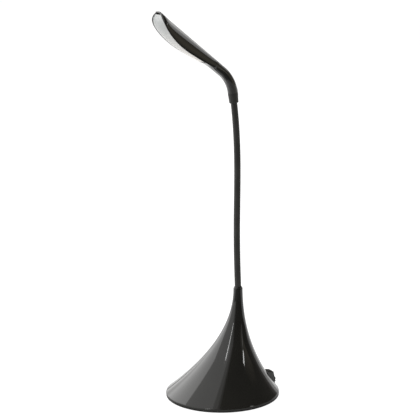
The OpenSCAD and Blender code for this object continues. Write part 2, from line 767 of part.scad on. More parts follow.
module head_ferrule() {
    color("#c9a44c")
    at_head() difference() {
        union() {
            translate([0, 0, -cup_lip]) cylinder(r = neck_d / 2, h = sleeve_len + cup_lip + clip_t + 1.2);
            translate([0, 0, sleeve_foot]) cylinder(r = ferrule_r, h = shoulder_l - fit);
        }
        sphere(r = cup_r);
        translate([0, 0, -1]) cylinder(r = lead_bore_r, h = sleeve_len + 5);
        translate([0, 0, sleeve_len + fit]) difference() {
            cylinder(r = neck_d, h = clip_t);
            translate([0, 0, -1]) cylinder(r = groove_r, h = clip_t + 2);
        }
    }
}
module ferrule_clip() {
    color("#9a9da0")
    at_head() translate([0, 0, sleeve_len + fit]) difference() {
        cylinder(r = clip_r, h = clip_t);
        translate([0, 0, -1]) cylinder(r = groove_r + fit, h = clip_t + 2);
        translate([-0.8, 0, -1]) cube([1.6, neck_d, clip_t + 2]);
    }
}

// White liner that carries the LED board inside the petal
liner_t = 0.8;
liner_lift = diffuser_in + diffuser_t + gap;
liner_from = 29;
board_from = 31;
led_board_t = 1.2;
led_depth = 5.6;
post_r = 2.2;
led_screw_r = 0.9;
post_at = [board_from + 6, board_from + led_board_l - 6];
liner_end = petal_l - 10;
function liner_row(b, inset) =
    let (rise = depth(b) - head_wall - inset)
    arch(b, half_w(b) - head_wall - inset, rise, depth(b), asin(min(liner_lift / rise, 0.9)));
// Frame d below the crown: Y runs to the tip and Z points at the crown
module on_petal(b, d) {
    translate(petal(b, 0, d)) rotate([-head_rise, 0, 0]) rotate([0, 0, 180]) children();
}
module reflector() {
    color("#eeeeea")
    difference() {
        union() {
            grid_shell(
                [for (k = [0 : 14]) liner_row(liner_from + (liner_end - liner_from) * k / 14, gap)],
                [for (k = [0 : 14]) liner_row(liner_from + (liner_end - liner_from) * k / 14, gap + liner_t)]
            );
            for (b = post_at) on_petal(b, led_depth)
                cylinder(r = post_r, h = led_depth - head_wall - gap - liner_t / 2);
        }
        for (b = post_at) on_petal(b, led_depth) translate([0, 0, -1]) cylinder(r = led_screw_r + fit, h = 3.4);
    }
}
module led_board() {
    color("#d9dcd8")
    difference() {
        on_petal(board_from, led_depth) translate([-led_board_w / 2, 0, -led_board_t])
            cube([led_board_w, led_board_l, led_board_t]);
        for (b = post_at) on_petal(b, led_depth) translate([0, 0, -3]) cylinder(r = led_screw_r + 2 * fit, h = 4);
    }
}
led_w = 2.8;
led_l = 3.5;
led_t = 0.7;
led_pitch = led_board_l / led_count;
module leds() {
    color("#f3df8a")
    for (side = [-1, 1]) for (k = [0 : led_count - 1])
        on_petal(board_from + (k + 0.5) * led_pitch, led_depth)
            translate([side * 3.3 - led_w / 2, -led_l / 2, -led_board_t - led_t]) cube([led_w, led_l, led_t]);
}
module led_board_screws() {
    color("#b0b3b5")
    for (b = post_at) on_petal(b, led_depth) translate([0, 0, -led_board_t]) {
        translate([0, 0, -0.9]) cylinder(r = 1.6, h = 0.9);
        cylinder(r = led_screw_r, h = led_board_t + 2);
    }
}

// The diffuser follows the rim, a little inside it
diffuser_from = cover_end + gap;
diffuser_end = 14;
function rim(u) =
    u < 1 ? let (b = diffuser_from + (deep_at - diffuser_from) * u) [b, depth(b)]
    : let (a = 90 - (90 - diffuser_end) * (u - 1)) [deep_at + tip_run * cos(a), petal_h * sin(a)];
function rim_in(u) = let (t = rim(u + 0.01) - rim(u - 0.01)) [t[1], -t[0]] / norm(t);
function diffuser_row(u, inset) =
    let (p = rim(u) + inset * rim_in(u), x = hollow_x(p[0], p[1]) - gap)
    [petal(p[0], x, p[1]), petal(p[0], -x, p[1])];
module diffuser() {
    color("#f2f5f6")
    grid_shell(
        [for (k = [0 : 26]) diffuser_row(k / 13, diffuser_in)],
        [for (k = [0 : 26]) diffuser_row(k / 13, diffuser_in + diffuser_t)]
    );
}
module upper_lamp_lead() {
    color("#2a2a2a")
    wire(concat(
        [place(cup_r, 0, 0), place(sleeve_len / 2, 0, 0)],
        [for (k = [0 : 3]) place(sleeve_len + elbow_l * k / 3, 0, 0)],
        [petal(16, 0, tube_r), petal(board_from - 2, 0, led_depth - 0.2), petal(board_from, 0, led_depth - 0.2)]
    ), lamp_lead_r * 0.9);
}

base_shell();
base_plate();
ballast();
non_slip_pad();
plate_screws();
ballast_screws();
neck_collar();
neck_ferrule();
neck_washer();
neck_nut();
board_standoffs();
board_screws();
driver_board();
driver_inductor();
driver_capacitors();
driver_chips();
switch_body();
switch_rocker();
switch_terminals();
power_inlet();
inlet_contacts();
inlet_nut();
switch_leads();
inlet_leads();
lower_lamp_lead();
neck_core(1);  // neck_core_01
neck_core(2);  // neck_core_02
neck_core(3);  // neck_core_03
neck_core(4);  // neck_core_04
neck_core(5);  // neck_core_05
neck_core(6);  // neck_core_06
neck_core(7);  // neck_core_07
neck_core(8);  // neck_core_08
neck_core(9);  // neck_core_09
neck_core(10);  // neck_core_10
neck_core(11);  // neck_core_11
neck_core(12);  // neck_core_12
neck_sleeve(1);  // neck_sleeve_01
neck_sleeve(2);  // neck_sleeve_02
neck_sleeve(3);  // neck_sleeve_03
neck_sleeve(4);  // neck_sleeve_04
neck_sleeve(5);  // neck_sleeve_05
neck_sleeve(6);  // neck_sleeve_06
neck_sleeve(7);  // neck_sleeve_07
neck_sleeve(8);  // neck_sleeve_08
neck_sleeve(9);  // neck_sleeve_09
neck_sleeve(10);  // neck_sleeve_10
neck_sleeve(11);  // neck_sleeve_11
neck_sleeve(12);  // neck_sleeve_12
head_shell();
elbow_cover();
head_ferrule();
ferrule_clip();
reflector();
led_board();
leds();
led_board_screws();
diffuser();
upper_lamp_lead();
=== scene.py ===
# %% [markdown]
# # A gooseneck desk lamp
# The lamp stands in one shared frame with its construction model: Z is up, the head points to -Y and
# the origin is the middle of the underside. This file dresses that model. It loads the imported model,
# lays smooth skins over the parts that the eye meets first, and gives every other part its finish.
# The skins could be sculpted by hand. They are worked out from formulas instead, because the lamp's
# own shapes are simple curves: a trumpet, a bent tube and a petal.

# %% Load the construction model
import json
import math

import bpy
import numpy as np
from mathutils import Matrix


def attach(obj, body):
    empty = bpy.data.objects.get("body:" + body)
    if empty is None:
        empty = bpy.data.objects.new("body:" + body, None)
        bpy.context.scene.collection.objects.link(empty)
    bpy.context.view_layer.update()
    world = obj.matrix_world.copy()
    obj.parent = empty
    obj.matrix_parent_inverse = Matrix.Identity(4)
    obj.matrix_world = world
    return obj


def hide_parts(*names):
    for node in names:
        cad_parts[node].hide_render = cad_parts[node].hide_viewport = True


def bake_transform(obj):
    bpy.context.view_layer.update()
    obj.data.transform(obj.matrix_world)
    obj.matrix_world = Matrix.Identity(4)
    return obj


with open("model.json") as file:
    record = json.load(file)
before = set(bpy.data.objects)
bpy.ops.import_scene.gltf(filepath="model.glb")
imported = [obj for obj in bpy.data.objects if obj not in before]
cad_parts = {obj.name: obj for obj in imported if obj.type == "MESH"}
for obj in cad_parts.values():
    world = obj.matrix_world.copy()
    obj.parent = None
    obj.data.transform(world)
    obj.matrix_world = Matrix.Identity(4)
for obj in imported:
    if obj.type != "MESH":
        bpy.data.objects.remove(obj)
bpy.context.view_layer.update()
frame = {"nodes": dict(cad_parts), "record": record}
nodes = frame["nodes"]

# %% [markdown]
# ## The camera
# The photograph was taken from the lamp's right side, a little in front and a little above. The place
# and the directions below come from fitting a pinhole camera to the outline of the trumpet. A camera
# looks along its own -Z, so its matrix has the picture's right, the picture's up and the way back.

# %% Camera
PIXELS = 420
FOCAL_PIXELS = 1459.2
SENSOR_MM = 36.0
CAMERA_AT = np.array([1.45009, -0.67619, 0.56842])
CAMERA_YAW = math.radians(65.42)
CAMERA_ROLL = math.radians(-0.73)
look_at = np.array([-0.88825, 0.40623, -0.21445])
look_at = look_at / np.linalg.norm(look_at)
level = np.array([math.cos(CAMERA_YAW), math.sin(CAMERA_YAW), 0.0])
level_up = np.cross(level, look_at)
right = math.cos(CAMERA_ROLL) * level + math.sin(CAMERA_ROLL) * level_up
up = -math.sin(CAMERA_ROLL) * level + math.cos(CAMERA_ROLL) * level_up

lens = bpy.data.cameras.new("photo_camera")
lens.sensor_width = SENSOR_MM
lens.lens = FOCAL_PIXELS / PIXELS * SENSOR_MM
lens.clip_start, lens.clip_end = 0.05, 60.0
camera = bpy.data.objects.new("photo_camera", lens)
bpy.context.scene.collection.objects.link(camera)
axes = np.eye(4)
axes[:3, 0], axes[:3, 1], axes[:3, 2], axes[:3, 3] = right, up, -look_at, CAMERA_AT
camera.matrix_world = Matrix(axes.tolist())
bpy.context.scene.camera = camera
print("camera: %.1f mm lens" % lens.lens)

# %% [markdown]
# ## Surfaces from grids
# Each new piece is a grid of points: one row for every station along the piece, and in each row a
# closed loop round its section. Rows can close on themselves, as in a tube with a wall, or end in a
# cap. The mesh is made from whole arrays, and its faces are turned outwards by the sign of its volume.

# %% Grid helper
MM = 0.001
SMOOTH_UP_TO = math.radians(34)


def loop_faces(rows, cols, ring):
    """Quads of a grid whose columns close on themselves, and whose rows do so too if ring is true."""
    i = np.arange(rows if ring else rows - 1)[:, None]
    j = np.arange(cols)[None, :]
    i2, j2 = (i + 1) % rows, (j + 1) % cols
    return np.stack([i * cols + j, i2 * cols + j, i2 * cols + j2, i * cols + j2], axis=-1).reshape(-1, 4)


def end_faces(rows, cols):
    """Faces that close the first and last row of a wall: a ladder from the loop's first half, which is
    one side of the wall, to its second half, which is the other."""
    k = np.arange(cols // 2 - 1)
    first = np.stack([k, k + 1, cols - 2 - k, cols - 1 - k], axis=-1)
    last = first[:, ::-1] + (rows - 1) * cols
    return np.concatenate([first, last])


def piece(name, points_mm, slot, body=None, ring=False, finish=None):
    """Mesh object from rows x columns x 3 points in millimetres, in the lamp's own frame. Where ring is
    false, its rows end in a wall's edge. It takes the slot's finish, or a finish of its own."""
    rows, cols = points_mm.shape[:2]
    faces = loop_faces(rows, cols, ring)
    if not ring:
        faces = np.concatenate([faces, end_faces(rows, cols)])
    mesh = bpy.data.meshes.new(name)
    mesh.from_pydata((points_mm.reshape(-1, 3) * MM).tolist(), [], faces.tolist())
    mesh.update()
    mesh.calc_loop_triangles()
    corners = np.zeros(len(mesh.loop_triangles) * 3, np.int32)
    mesh.loop_triangles.foreach_get("vertices", corners)
    tri = points_mm.reshape(-1, 3)[corners.reshape(-1, 3)]
    volume = np.einsum("ij,ij->i", tri[:, 0], np.cross(tri[:, 1], tri[:, 2])).sum() / 6
    if volume < 0:
        mesh.flip_normals()
    mesh.shade_smooth()
    mesh.set_sharp_from_angle(angle=SMOOTH_UP_TO)
    thing = bpy.data.objects.new(name, mesh)
    bpy.context.scene.collection.objects.link(thing)
    mesh.materials.append(finishes[finish or slot])
    if body:
        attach(thing, body)
    print(f"{name}: {len(mesh.loop_triangles)} triangles, {abs(volume) / 1000:.2f} cm3")
    return thing


def ease(t):
    """Half a cosine wave: from 0 to 1, level at both ends."""
    return (1 - np.cos(np.pi * np.clip(t, 0, 1))) / 2


print("a grid of 3 rows by 4 columns has", len(loop_faces(3, 4, False)), "faces, and as a ring",
      len(loop_faces(3, 4, True)))

# %% [markdown]
# ## Finishes
# A finish is a Principled shader with a little life in it: its colour and its roughness wander
# slowly over the piece, and a fine bump gives the grain that the moulding or the metal has. A picture
# could be wrapped round the piece instead, but noise has no seams and no end of detail. All patterns
# read Object coordinates, so they stay on the piece when it moves.

# %% Node helpers
finishes = {}


def new_finish(name):
    """An empty material, with its Principled shader and its Object coordinates."""
    material = bpy.data.materials.new(name)
    material.use_nodes = True
    material.node_tree.nodes.new("ShaderNodeTexCoord")
    finishes[name] = material
    return open_finish(name)


def open_finish(name):
    """Tree, shader and Object coordinates of a finish that is there already."""
    tree = finishes[name].node_tree
    return tree, tree.nodes["Principled BSDF"], tree.nodes["Texture Coordinate"].outputs["Object"]


def noise(tree, place, scale, detail=3.0, stretch=None):
    """Soft noise of so many blobs to the metre, drawn out along an axis where stretch says so."""
    if stretch:
        mapping = tree.nodes.new("ShaderNodeMapping")
        mapping.inputs["Scale"].default_value = stretch
        tree.links.new(place, mapping.inputs["Vector"])
        place = mapping.outputs["Vector"]
    node = tree.nodes.new("ShaderNodeTexNoise")
    node.inputs["Scale"].default_value = scale
    node.inputs["Detail"].default_value = detail
    tree.links.new(place, node.inputs["Vector"])
    return node.outputs["Fac"]


def ramp(tree, value, low, high, start=0.3, end=0.7):
    """Colour that runs from low to high as the value goes from start to end."""
    node = tree.nodes.new("ShaderNodeValToRGB")
    for stop, place, colour in zip(node.color_ramp.elements, (start, end), (low, high)):
        stop.position, stop.color = place, (*colour, 1.0)
    tree.links.new(value, node.inputs["Fac"])
    return node.outputs["Color"]


def between(tree, value, start, end, low=0.0, high=1.0, soft=False):
    """Number that runs from low to high as the value goes from start to end, evenly or with soft ends."""
    node = tree.nodes.new("ShaderNodeMapRange")
    node.interpolation_type = "SMOOTHSTEP" if soft else "LINEAR"
    for socket, number in zip(("From Min", "From Max", "To Min", "To Max"), (start, end, low, high)):
        node.inputs[socket].default_value = number
    tree.links.new(value, node.inputs["Value"])
    return node.outputs["Result"]


def calc(tree, operation, *values):
    """One Math node, whose inputs are sockets or plain numbers."""
    node = tree.nodes.new("ShaderNodeMath")
    node.operation = operation
    for socket, value in zip(node.inputs, values):
        if isinstance(value, float):
            socket.default_value = value
        else:
            tree.links.new(value, socket)
    return node.outputs["Value"]


def distance(tree, place, point):
    """How far a place is from a point."""
    node = tree.nodes.new("ShaderNodeVectorMath")
    node.operation = "DISTANCE"
    tree.links.new(place, node.inputs[0])
    node.inputs[1].default_value = point
    return node.outputs["Value"]


def axis_of(tree, place, axis):
    """One coordinate of a place."""
    node = tree.nodes.new("ShaderNodeSeparateXYZ")
    tree.links.new(place, node.inputs["Vector"])
    return node.outputs[axis]


def bump(tree, shader, height, depth_mm, strength):
    """Grain of that depth on the shader's normal."""
    node = tree.nodes.new("ShaderNodeBump")
    node.inputs["Distance"].default_value = depth_mm * MM
    node.inputs["Strength"].default_value = strength
    tree.links.new(height, node.inputs["Height"])
    tree.links.new(node.outputs["Normal"], shader.inputs["Normal"])


def grained(name, low, high, rough, wander=30, grain=900, depth_mm=0.02, strength=0.2, metal=0.0,
            stretch=None, ior=1.5):
    """Finish whose colour runs between two tones and whose roughness runs between two values."""
    tree, shader, place = new_finish(name)
    slow = noise(tree, place, wander, 2.0)
    fine = noise(tree, place, grain, 4.0, stretch)
    tree.links.new(ramp(tree, slow, low, high), shader.inputs["Base Color"])
    tree.links.new(between(tree, fine, 0.3, 0.7, *rough), shader.inputs["Roughness"])
    bump(tree, shader, fine, depth_mm, strength)
    shader.inputs["Metallic"].default_value = metal
    shader.inputs["IOR"].default_value = ior


print("a grain of 900 to the metre has a blob every %.1f mm" % (1 / 900 / MM))

# %% [markdown]
# The lamp's skins are black plastic with a mirror gloss: almost no colour, a very low roughness, and
# only the faint waviness that a polished mould leaves. The gooseneck's sleeve is softer and finely
# grained, and its low index of refraction keeps its edges dark. The diffuser is an opal sheet that
# scatters light. Inside are plain workshop finishes.

# %% Plastics
grained("gloss_black", (0.010, 0.010, 0.009), (0.014, 0.014, 0.012), (0.05, 0.09), wander=22,
        grain=60, depth_mm=0.02, strength=0.03)
grained("satin_black", (0.034, 0.034, 0.033), (0.046, 0.046, 0.044), (0.50, 0.62), wander=60,
        grain=2600, depth_mm=0.03, strength=0.25, ior=1.3)
grained("worn_gloss", (0.010, 0.010, 0.009), (0.014, 0.014, 0.012), (0.05, 0.09), wander=22,
        grain=60, depth_mm=0.02, strength=0.03)
grained("diffuser_white", (0.27, 0.29, 0.30), (0.46, 0.445, 0.42), (0.30, 0.42), wander=25,
        grain=1800, depth_mm=0.01, strength=0.12)
grained("switch_black", (0.014, 0.014, 0.014), (0.024, 0.024, 0.023), (0.36, 0.52), wander=90,
        grain=3200, depth_mm=0.03, strength=0.3)
grained("rocker_black", (0.010, 0.010, 0.010), (0.018, 0.018, 0.017), (0.12, 0.2), wander=120,
        grain=900, depth_mm=0.01, strength=0.08)
grained("white_plastic", (0.80, 0.80, 0.77), (0.88, 0.88, 0.86), (0.35, 0.5), wander=60,
        grain=2200, depth_mm=0.02, strength=0.2)
grained("foam_rubber", (0.020, 0.020, 0.021), (0.036, 0.036, 0.037), (0.75, 0.95), wander=140,
        grain=1500, depth_mm=0.12, strength=0.7)
grained("component_black", (0.020, 0.020, 0.022), (0.035, 0.034, 0.034), (0.35, 0.6), wander=200,
        grain=2400, depth_mm=0.03, strength=0.3)
grained("lead_red", (0.40, 0.015, 0.012), (0.50, 0.03, 0.02), (0.3, 0.42), wander=160,
        grain=1600, depth_mm=0.02, strength=0.2)
grained("lead_black", (0.016, 0.016, 0.017), (0.028, 0.028, 0.028), (0.3, 0.42), wander=160,
        grain=1600, depth_mm=0.02, strength=0.2)
grained("led_yellow", (0.82, 0.58, 0.12), (0.92, 0.72, 0.22), (0.25, 0.4), wander=420,
        grain=1600, depth_mm=0.02, strength=0.2)
print("plastics:", ", ".join(finishes))

# %% [markdown]
# Bare metals keep their colour in the reflection, so they are fully metallic. On the wound neck and the
# turned brass the grain is drawn out round the part, as the tool leaves it. The base plate is steel
# under black paint and the light's board is aluminium under white lacquer, so those two are not.

# %% Metals
grained("neck_steel", (0.40, 0.41, 0.42), (0.55, 0.56, 0.57), (0.28, 0.45), wander=80, grain=1500,
        depth_mm=0.04, strength=0.3, metal=1.0, stretch=(1.0, 1.0, 6.0))
grained("plate_steel", (0.035, 0.035, 0.038), (0.055, 0.055, 0.06), (0.45, 0.62), wander=40, grain=700,
        depth_mm=0.05, strength=0.35)
grained("cast_weight", (0.16, 0.16, 0.16), (0.26, 0.26, 0.25), (0.55, 0.75), wander=50, grain=500,
        depth_mm=0.2, strength=0.6, metal=1.0)
grained("screw_steel", (0.52, 0.52, 0.54), (0.64, 0.64, 0.65), (0.18, 0.32), wander=160, grain=1800,
        depth_mm=0.02, strength=0.2, metal=1.0)
grained("brass", (0.62, 0.42, 0.15), (0.74, 0.54, 0.24), (0.2, 0.34), wander=120, grain=1500,
        depth_mm=0.02, strength=0.2, metal=1.0, stretch=(1.0, 1.0, 5.0))
grained("contact_brass", (0.68, 0.55, 0.30), (0.80, 0.68, 0.42), (0.18, 0.3), wander=200, grain=1500,
        depth_mm=0.02, strength=0.2, metal=1.0)
grained("board_aluminium", (0.78, 0.79, 0.78), (0.86, 0.87, 0.86), (0.3, 0.45), wander=150, grain=2000,
        depth_mm=0.01, strength=0.1)
print("with the metals:", len(finishes), "finishes")

# %% [markdown]
# The circuit board is green lacquer over copper. A brick pattern stands for the tracks: its joints are
# the lines where copper lies under the lacquer, and they stand up a little.

# %% Circuit board


def solder_mask(name):
    """Green board: darker fields and lighter lines from a brick pattern laid flat on it."""
    tree, shader, place = new_finish(name)
    tracks = tree.nodes.new("ShaderNodeTexBrick")
    tracks.inputs["Scale"].default_value = 160.0
    tracks.inputs["Mortar Size"].default_value = 0.07
    tracks.inputs["Mortar Smooth"].default_value = 0.2
    tracks.inputs["Color1"].default_value = (0.010, 0.085, 0.035, 1.0)
    tracks.inputs["Color2"].default_value = (0.012, 0.095, 0.040, 1.0)
    tracks.inputs["Mortar"].default_value = (0.030, 0.190, 0.070, 1.0)
    tree.links.new(place, tracks.inputs["Vector"])
    tree.links.new(tracks.outputs["Color"], shader.inputs["Base Color"])
    rough = between(tree, noise(tree, place, 900), 0.3, 0.7, 0.2, 0.32)
    tree.links.new(rough, shader.inputs["Roughness"])
    bump(tree, shader, tracks.outputs["Fac"], 0.05, 0.3)


solder_mask("circuit_board")
print("board:", finishes["circuit_board"].name)

# %% [markdown]
# Two finishes change along the piece. The opal sheet's colour carries painted shade and painted light: it
# is painted cooler and darker at the tip, where less of it faces the light, and warm and bright near the
# elbow. The head's black is satin where the sleeve ends and turns to full gloss further out. The line
# between them is broken up, as a hand-rubbed one is.

# %% Finishes that change along the piece
TIP_Y, LIT_Y = -0.088, -0.030
BEND_CENTRE, SATIN_TO, GLOSS_FROM = (0.0, 0.0003, 0.3415), 0.0245, 0.0270


def painted_shade_along_y(name, near, far):
    """Painted shade: colour that runs from a shaded tone to a lit one along Y, with a tenth of noise added
    to the share.
    """
    tree, shader, place = open_finish(name)
    share = between(tree, axis_of(tree, place, "Y"), TIP_Y, LIT_Y)
    share = calc(tree, "MULTIPLY_ADD", noise(tree, place, 40, 2.0), 0.1, share)
    tree.links.new(ramp(tree, share, near, far, 0.05, 1.0), shader.inputs["Base Color"])


def satin_to_gloss(name, satin, gloss, satin_rough, gloss_rough):
    """Satin round a point and gloss further out: the share is the distance from the point, with up to
    4 mm of noise added."""
    tree, shader, place = open_finish(name)
    far = distance(tree, place, BEND_CENTRE)
    far = calc(tree, "MULTIPLY_ADD", noise(tree, place, 260, 3.0), 0.004, far)
    share = between(tree, far, SATIN_TO, GLOSS_FROM)
    tree.links.new(ramp(tree, share, satin, gloss, 0.0, 1.0), shader.inputs["Base Color"])
    tree.links.new(between(tree, share, 0.0, 1.0, satin_rough, gloss_rough), shader.inputs["Roughness"])


# Painted shade and light on the opal sheet: a dark cool tone at the tip, a bright warm one near the elbow.
painted_shade_along_y("diffuser_white", (0.215, 0.25, 0.262), (0.64, 0.61, 0.57))
satin_to_gloss("worn_gloss", (0.048, 0.048, 0.047), (0.012, 0.012, 0.011), 0.42, 0.07)
print("toned along the piece: diffuser_white, worn_gloss")

# %% [markdown]
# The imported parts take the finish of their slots. Where a skin stands in for a part, the part is hidden.

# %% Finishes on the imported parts
for row in frame["record"]["subparts"]:
    mesh = nodes[row["node"]].data
    mesh.materials.clear()
    mesh.materials.append(finishes[row["material_slot"]])

# %% [markdown]
# ## The trumpet
# The base is one moulding shaped like a trumpet that leans back. Its section at any height is a
# circle. The radius falls as a power of the height still to go, which gives the long thin throat and
# the wide foot, and the middle of the circle moves back as a quarter of a sine wave. Two formulas
# keep the flank free of the small bumps that points placed by hand would leave in a mirror.

# %% Trumpet formulas
BASE_R, EDGE_H, BASE_H = 65.0, 4.2, 124.0
THROAT_R, FLARE, APEX_BACK = 5.35, 2.1, 21.0
FOOT_GAP, BASE_WALL, LEDGE = 0.35, 2.2, 0.4
LIP_R = BASE_R - BASE_WALL - LEDGE
THROAT_BORE = 4.0


def horn_radius(z):
    """Throat radius, plus what the foot has over it times a power of the height's share still to go."""
    left = np.clip(1 - (z - EDGE_H) / (BASE_H - EDGE_H), 0, 1)
    return THROAT_R + (BASE_R - THROAT_R) * left**FLARE


def horn_middle(z):
    """How far back the circle's middle stands: a quarter sine wave up to the apex."""
    return APEX_BACK * np.sin(np.pi / 2 * np.clip((z - EDGE_H) / (BASE_H - EDGE_H), 0, 1))


def rounding(a, corner, b, steps):
    """Points of the quadratic curve that rounds a corner: it leaves a and reaches b along its sides."""
    t = np.linspace(0, 1, steps)[:, None]
    return (1 - t) ** 2 * np.array(a) + 2 * t * (1 - t) * np.array(corner) + t**2 * np.array(b)


half_way = BASE_H / 2
print("trumpet half way up: radius %.1f, %.1f mm back" % (horn_radius(half_way), horn_middle(half_way)))

# %% [markdown]
# The profile goes down the outside, round the shoulder of the foot and its lower edge, under the lip
# and back up the inside, so the skin has its real wall and its real edges.

# %% Trumpet skin
SHOULDER, THROAT_EDGE, HEEL, LIP_EDGE = 0.8, 0.35, 0.7, 0.3
LEDGE_H, HOLLOW_FROM, BORE_L, BORE_PLAIN = 3.7, 4.3, 10.0, 5.0
span = BASE_H - EDGE_H
fall_to, fall_from = EDGE_H + SHOULDER, BASE_H - THROAT_EDGE
fall = fall_to + (fall_from - fall_to) * np.linspace(1, 0, 150) ** 1.5
outside = np.stack([horn_radius(fall), fall], -1)
throat_lip = rounding((THROAT_BORE + LIP_EDGE, BASE_H), (THROAT_R, BASE_H), outside[0], 5)[:-1]
shoulder = rounding(outside[-1], (BASE_R, EDGE_H), (BASE_R, EDGE_H - SHOULDER), 9)[1:]
heel = rounding((BASE_R, FOOT_GAP + HEEL), (BASE_R, FOOT_GAP), (BASE_R - HEEL, FOOT_GAP), 7)
lip = np.array([(LIP_R + LIP_EDGE, FOOT_GAP), (LIP_R, FOOT_GAP + LIP_EDGE), (LIP_R, LEDGE_H)])
climb = HOLLOW_FROM + (BASE_H - BORE_L - HOLLOW_FROM) * np.linspace(0, 1, 40) ** 1.3
slope = FLARE * (BASE_R - THROAT_R) / span * (1 - (climb - EDGE_H) / span) ** (FLARE - 1)
inner_r = np.clip(horn_radius(climb) - BASE_WALL * np.sqrt(1 + slope**2), THROAT_BORE, LIP_R - LEDGE / 2)
inside = np.stack([inner_r, climb], -1)
bore = np.array([(THROAT_BORE, BASE_H - BORE_PLAIN), (THROAT_BORE, BASE_H - LIP_EDGE)])
profile = np.concatenate([throat_lip, outside, shoulder, heel, lip, inside, bore])


def circles(profile_rz, middle, turns=128):
    """Rows of a turned skin: each profile point is swung round an upright axis at its own middle."""
    angle = np.linspace(0, 2 * np.pi, turns, endpoint=False)[None, :]
    radius, height = profile_rz[:, :1], profile_rz[:, 1:]
    return np.stack([
        radius * np.cos(angle),
        middle[:, None] + radius * np.sin(angle),
        height + 0 * angle,
    ], axis=-1)


trumpet = piece("trumpet", circles(profile, horn_middle(profile[:, 1])), "gloss_black", "base", ring=True)
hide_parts("base_shell")

# %% [markdown]
# ## The housings at the back
# Two small boxes stand out of the foot at the back: a tall narrow one for the switch, and a lower one
# beside it for the power inlet. Both are built on the frame of the leaning rear face that they share:
# X across, Y down and Z out.

# %% Frame of the rear face
POD_BACK, POD_TOP = 59.6, 22.6
POD_LEAN, POD_SLOPE = math.radians(13), math.radians(9)
POD_CORNER, POD_TOP_RUN, POD_WALL, POD_FOOT = 2.3, 4.0, 2.0, 4.4
POD_DEPTH, EDGE_R, SQUARE_R, LEAST_R = 16.0, 1.9, 0.1, 0.3


def on_pod(x, y, z):
    """Points given on the leaning face, in the lamp's frame."""
    return np.stack([
        x + 0 * y + 0 * z,
        POD_BACK + y * math.sin(POD_LEAN) + z * math.cos(POD_LEAN) + 0 * x,
        POD_TOP - y * math.cos(POD_LEAN) + z * math.sin(POD_LEAN) + 0 * x,
    ], axis=-1)


def pod_roof(z, drop):
    """Y of the sloping roof at depth z on the face's frame, for a housing that much lower."""
    rise = math.sin(POD_LEAN) + math.cos(POD_LEAN) * math.tan(POD_SLOPE)
    return (drop + z * rise + POD_TOP_RUN * math.tan(POD_SLOPE)) / (
        math.cos(POD_LEAN) - math.sin(POD_LEAN) * math.tan(POD_SLOPE))


print("roof of the taller housing: %.2f mm down the face at its back edge" % pod_roof(0.0, 0.0))

# %% [markdown]
# Each housing is a tube of loops. The loops come back along the outside of the walls, turn over the
# rounded edge and close in on an opening; from there they go forward again behind the face and along
# the inside of the walls. Cutting a hole in a box would be shorter to write, but a cut leaves long thin
# faces that show as creases in a mirror finish.

# %% Housing loops


def arch(left, right, top, foot, z, r_left, r_right):
    """Loop of 80 points: up the right side, round a corner, over the top, round the other corner,
    down the left side and back along the foot."""
    a = np.linspace(0, np.pi / 2, 9)
    rise_right = np.linspace(foot, top + r_right, 14)[:-1]
    fall_left = np.linspace(top + r_left, foot, 14)[1:]
    roof = np.linspace(right - r_right, left + r_left, 20)[1:-1]
    bottom = np.linspace(left, right, 20)[1:-1]
    x = np.concatenate([right + 0 * rise_right, right - r_right + r_right * np.cos(a), roof,
                        left + r_left - r_left * np.sin(a), left + 0 * fall_left, bottom])
    y = np.concatenate([rise_right, top + r_right - r_right * np.sin(a), top + 0 * roof,
                        top + r_left - r_left * np.cos(a), fall_left, foot + 0 * bottom])
    return np.stack([x, y, z + 0 * x], -1)


def housing_loop(box, z, inset, round_right=True):
    """Section of a housing at depth z, moved in by inset. Its foot lies level, under the trumpet's skin.
    Where round_right is false, the right side stands in another wall and keeps its corner and place."""
    left, right, drop = box
    foot = (POD_TOP - POD_FOOT + z * math.sin(POD_LEAN)) / math.cos(POD_LEAN)
    r = max(POD_CORNER - inset, LEAST_R)
    kept = min(inset, POD_WALL) if round_right or inset == POD_WALL else 0.0
    roof = pod_roof(z, drop) + inset
    return arch(left + inset, right - kept, roof, foot, z, r, r if round_right else SQUARE_R)


def ray_circle(loop, centre, radius, z):
    """Circle whose points lie straight between its centre and the points of a loop."""
    away = loop[:, :2] - centre
    away = away / np.linalg.norm(away, axis=1, keepdims=True)
    return np.concatenate([centre + radius * away, np.full((len(loop), 1), z)], axis=1)


def housing(name, box, opening, round_right):
    """Piece for one housing. The opening is a function that gives the hole's loop for a wall's loop."""
    turn_in = np.linspace(0, np.pi / 2, 10)
    outer = [housing_loop(box, z, 0.0, round_right) for z in np.linspace(-POD_DEPTH, -EDGE_R, 7)[:-1]]
    edge = [housing_loop(box, -EDGE_R * (1 - math.sin(t)), EDGE_R * (1 - math.cos(t)), round_right)
            for t in turn_in]
    back = housing_loop(box, -POD_WALL, POD_WALL, round_right)
    share = np.linspace(0, 1, 6)
    face = [(1 - t) * edge[-1] + t * opening(edge[-1], 0.0) for t in share[1:]]
    behind = [(1 - t) * back + t * opening(edge[-1], -POD_WALL) for t in share[::-1]]
    inner = [housing_loop(box, z, POD_WALL, round_right)
             for z in np.linspace(-POD_WALL, -POD_DEPTH, 6)[1:]]
    rows = np.stack(outer + edge + face + behind + inner)
    piece(name, on_pod(rows[..., 0], rows[..., 1], rows[..., 2]), "gloss_black", "base", ring=True)


print(len(arch(-1.0, 1.0, 0.0, 2.0, 0.0, 0.1, 0.1)), "points in a loop")

# %% [markdown]
# The openings are those of the switch and of the inlet's round socket. A loop of the hole has as many
# points as a loop of the wall, so the face between them is plain quads.

# %% Housings
SWITCH_X, SWITCH_Y, OPENING_W, OPENING_H, OPENING_R = 6.5, 8.6, 6.5, 11.5, 0.2
INLET_X, INLET_Y, INLET_HOLE = -5.08, 12.0, 3.45
# A box is its left side, its right side and how far its roof lies below the taller one's.
SWITCH_BOX, INLET_BOX = (2.0, 11.0, 0.0), (-12.31, 3.2, 5.3)


